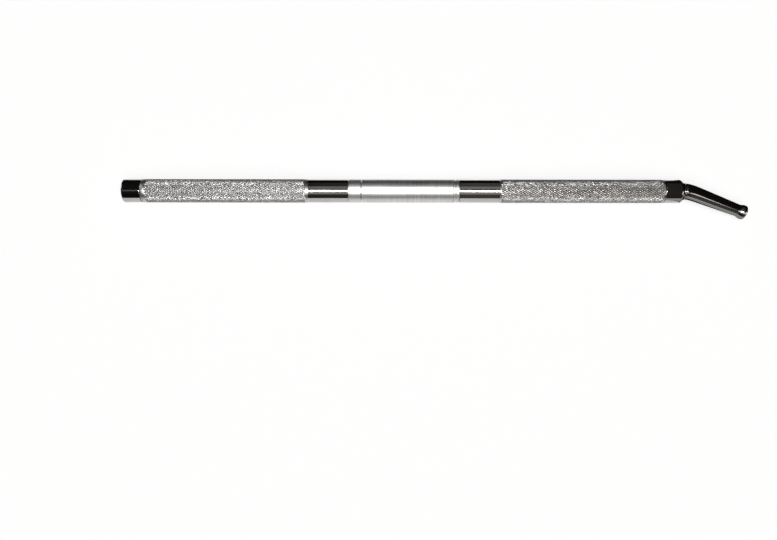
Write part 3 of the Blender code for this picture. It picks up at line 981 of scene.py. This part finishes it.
def make_cards():
    """Painted shade in reflections: a low dark card behind the tool, which darkens the floor's reflection
    there, and two on the floor, one dark and one glowing dimly, that tone down the nose and spout.
    """
    behind, top, reach = AXIS.y + FLAG_BEHIND, FLAG_HEIGHT, FLAG_REACH
    ends = ((-reach, 0.0), (reach, 0.0), (reach, top), (-reach, top))
    corners = [(x, behind, z) for x, z in ends]
    card("flag", corners, 0.0)
    nose = span("nose_fitting")[1]
    left, right, up = nose + CARD_START, nose + CARD_END, CARD_HEIGHT
    for name, near, far, shade in FLOOR_CARDS:
        near, far = AXIS.y + near, AXIS.y + far
        card(name, [(left, near, up), (right, near, up), (right, far, up), (left, far, up)], shade)


def area_light(name, centre, target, size, radiance, color):
    """A rectangular lamp of even brightness that faces its target. Only metal answers to it."""
    light = bpy.data.lights.new(name, "AREA")
    light.shape = "RECTANGLE"
    light.size, light.size_y = size
    light.energy = radiance * math.pi * size[0] * size[1]
    light.color = color
    lamp = bpy.data.objects.new(name, light)
    bpy.context.scene.collection.objects.link(lamp)
    lamp.location = centre
    lamp.rotation_euler = (Vector(target) - Vector(centre)).to_track_quat("-Z", "Y").to_euler()
    lamp.visible_camera = False
    lamp.visible_diffuse = False
    return lamp


def overhead(name, lean, spread_angle, length, radiance, color, shift):
    """A strip along the tool. lean is its angle from overhead, towards the camera's side."""
    middle = Vector((CAMERA_X + shift, AXIS.y, AXIS.z))
    angle = math.radians(lean)
    centre = middle + Vector((0.0, -math.sin(angle), math.cos(angle))) * LAMP_REACH
    width = 2 * LAMP_REACH * math.tan(math.radians(spread_angle / 2))
    return area_light(name, centre, middle, (length, width), radiance, color)


def light_only(lamp, pieces):
    """Keeps a lamp to the named pieces."""
    lit = bpy.data.collections.new(lamp.name + "_pieces")
    for piece in pieces:
        lit.objects.link(bpy.data.objects[piece])
    lamp.light_linking.receiver_collection = lit


def make_lights():
    for strip in STRIPS:
        overhead(*strip)
    middle = Vector((CAMERA_X, AXIS.y, AXIS.z))
    for name, place, size, radiance, color in SIDE_LAMPS:
        area_light(name, middle + Vector(place), middle, (size, size), radiance, color)
    lamp = area_light(
        "spout_light",
        middle + Vector(SPOUT_LAMP),
        middle + Vector(SPOUT_LAMP_TARGET),
        (SPOUT_LAMP_SIZE, SPOUT_LAMP_SIZE),
        SPOUT_LAMP_RADIANCE,
        SPOUT_LAMP_COLOR,
    )
    light_only(lamp, ["spout_tube_fine"])
    light_only(overhead(*SATIN_STRIP), SATIN_PIECES)
    sun = bpy.data.lights.new("floor_light", "SUN")
    sun.energy = FLOOR_LIGHT
    sun.angle = FLOOR_LIGHT_SPREAD
    lamp = bpy.data.objects.new("floor_light", sun)
    bpy.context.scene.collection.objects.link(lamp)
    lamp.rotation_euler = (FLOOR_LIGHT_TILT, 0.0, 0.0)
    lamp.visible_glossy = False


def make_world():
    """A dim room, lightest overhead, which the camera itself sees as pale as the floor."""
    world = bpy.data.worlds.new("studio")
    bpy.context.scene.world = world
    world.use_nodes = True
    tree = world.node_tree
    background = tree.nodes["Background"]
    rays = add_node(tree, "ShaderNodeLightPath")
    place = add_node(tree, "ShaderNodeTexCoord")
    split = add_node(tree, "ShaderNodeSeparateXYZ")
    tree.links.new(place.outputs["Generated"], split.inputs["Vector"])
    aside = add_node(tree, "ShaderNodeMath", operation="SUBTRACT")
    tree.links.new(split.outputs["X"], aside.inputs[0])
    aside.inputs[1].default_value = LIGHTEST_SIDE
    away = add_node(tree, "ShaderNodeMath", operation="ABSOLUTE")
    tree.links.new(aside.outputs["Value"], away.inputs[0])
    across = spread(tree, away.outputs["Value"], 1.0, 0.0, *ROOM_FADE)
    room = mix_colors(tree, across, ROOM_DARK, ROOM_LIGHT)
    color = mix_colors(tree, rays.outputs["Is Camera Ray"], room, BACKDROP)
    tree.links.new(color, background.inputs["Color"])


def make_camera():
    data = bpy.data.cameras.new("camera")
    data.sensor_width = SENSOR_WIDTH
    data.lens = data.sensor_width / 2 / math.tan(FIELD_OF_VIEW / 2)
    data.clip_start, data.clip_end = 0.01, 20.0
    camera = bpy.data.objects.new("camera", data)
    bpy.context.scene.collection.objects.link(camera)
    forward = Vector((0.0, math.cos(CAMERA_ELEVATION), -math.sin(CAMERA_ELEVATION)))
    up = Vector((0.0, math.sin(CAMERA_ELEVATION), math.cos(CAMERA_ELEVATION)))
    target = Vector((CAMERA_X, AXIS.y, AXIS.z))
    camera.location = target - forward * CAMERA_DISTANCE - up * TOOL_ABOVE_CENTRE
    level = forward.to_track_quat("-Z", "Y")
    camera.rotation_euler = (level @ Quaternion((0.0, 0.0, 1.0), CAMERA_ROLL)).to_euler()
    bpy.context.scene.camera = camera


make_end_cap()
make_handle_tube()
make_ferrule()
make_rod()
make_guide_sleeve()
make_lock_ring()
make_barrel_tube()
make_nose()
make_spout()
finish_hidden_pieces()
make_floor()
make_cards()
make_camera()
make_lights()
make_world()
bpy.context.scene.view_settings.view_transform = "Standard"
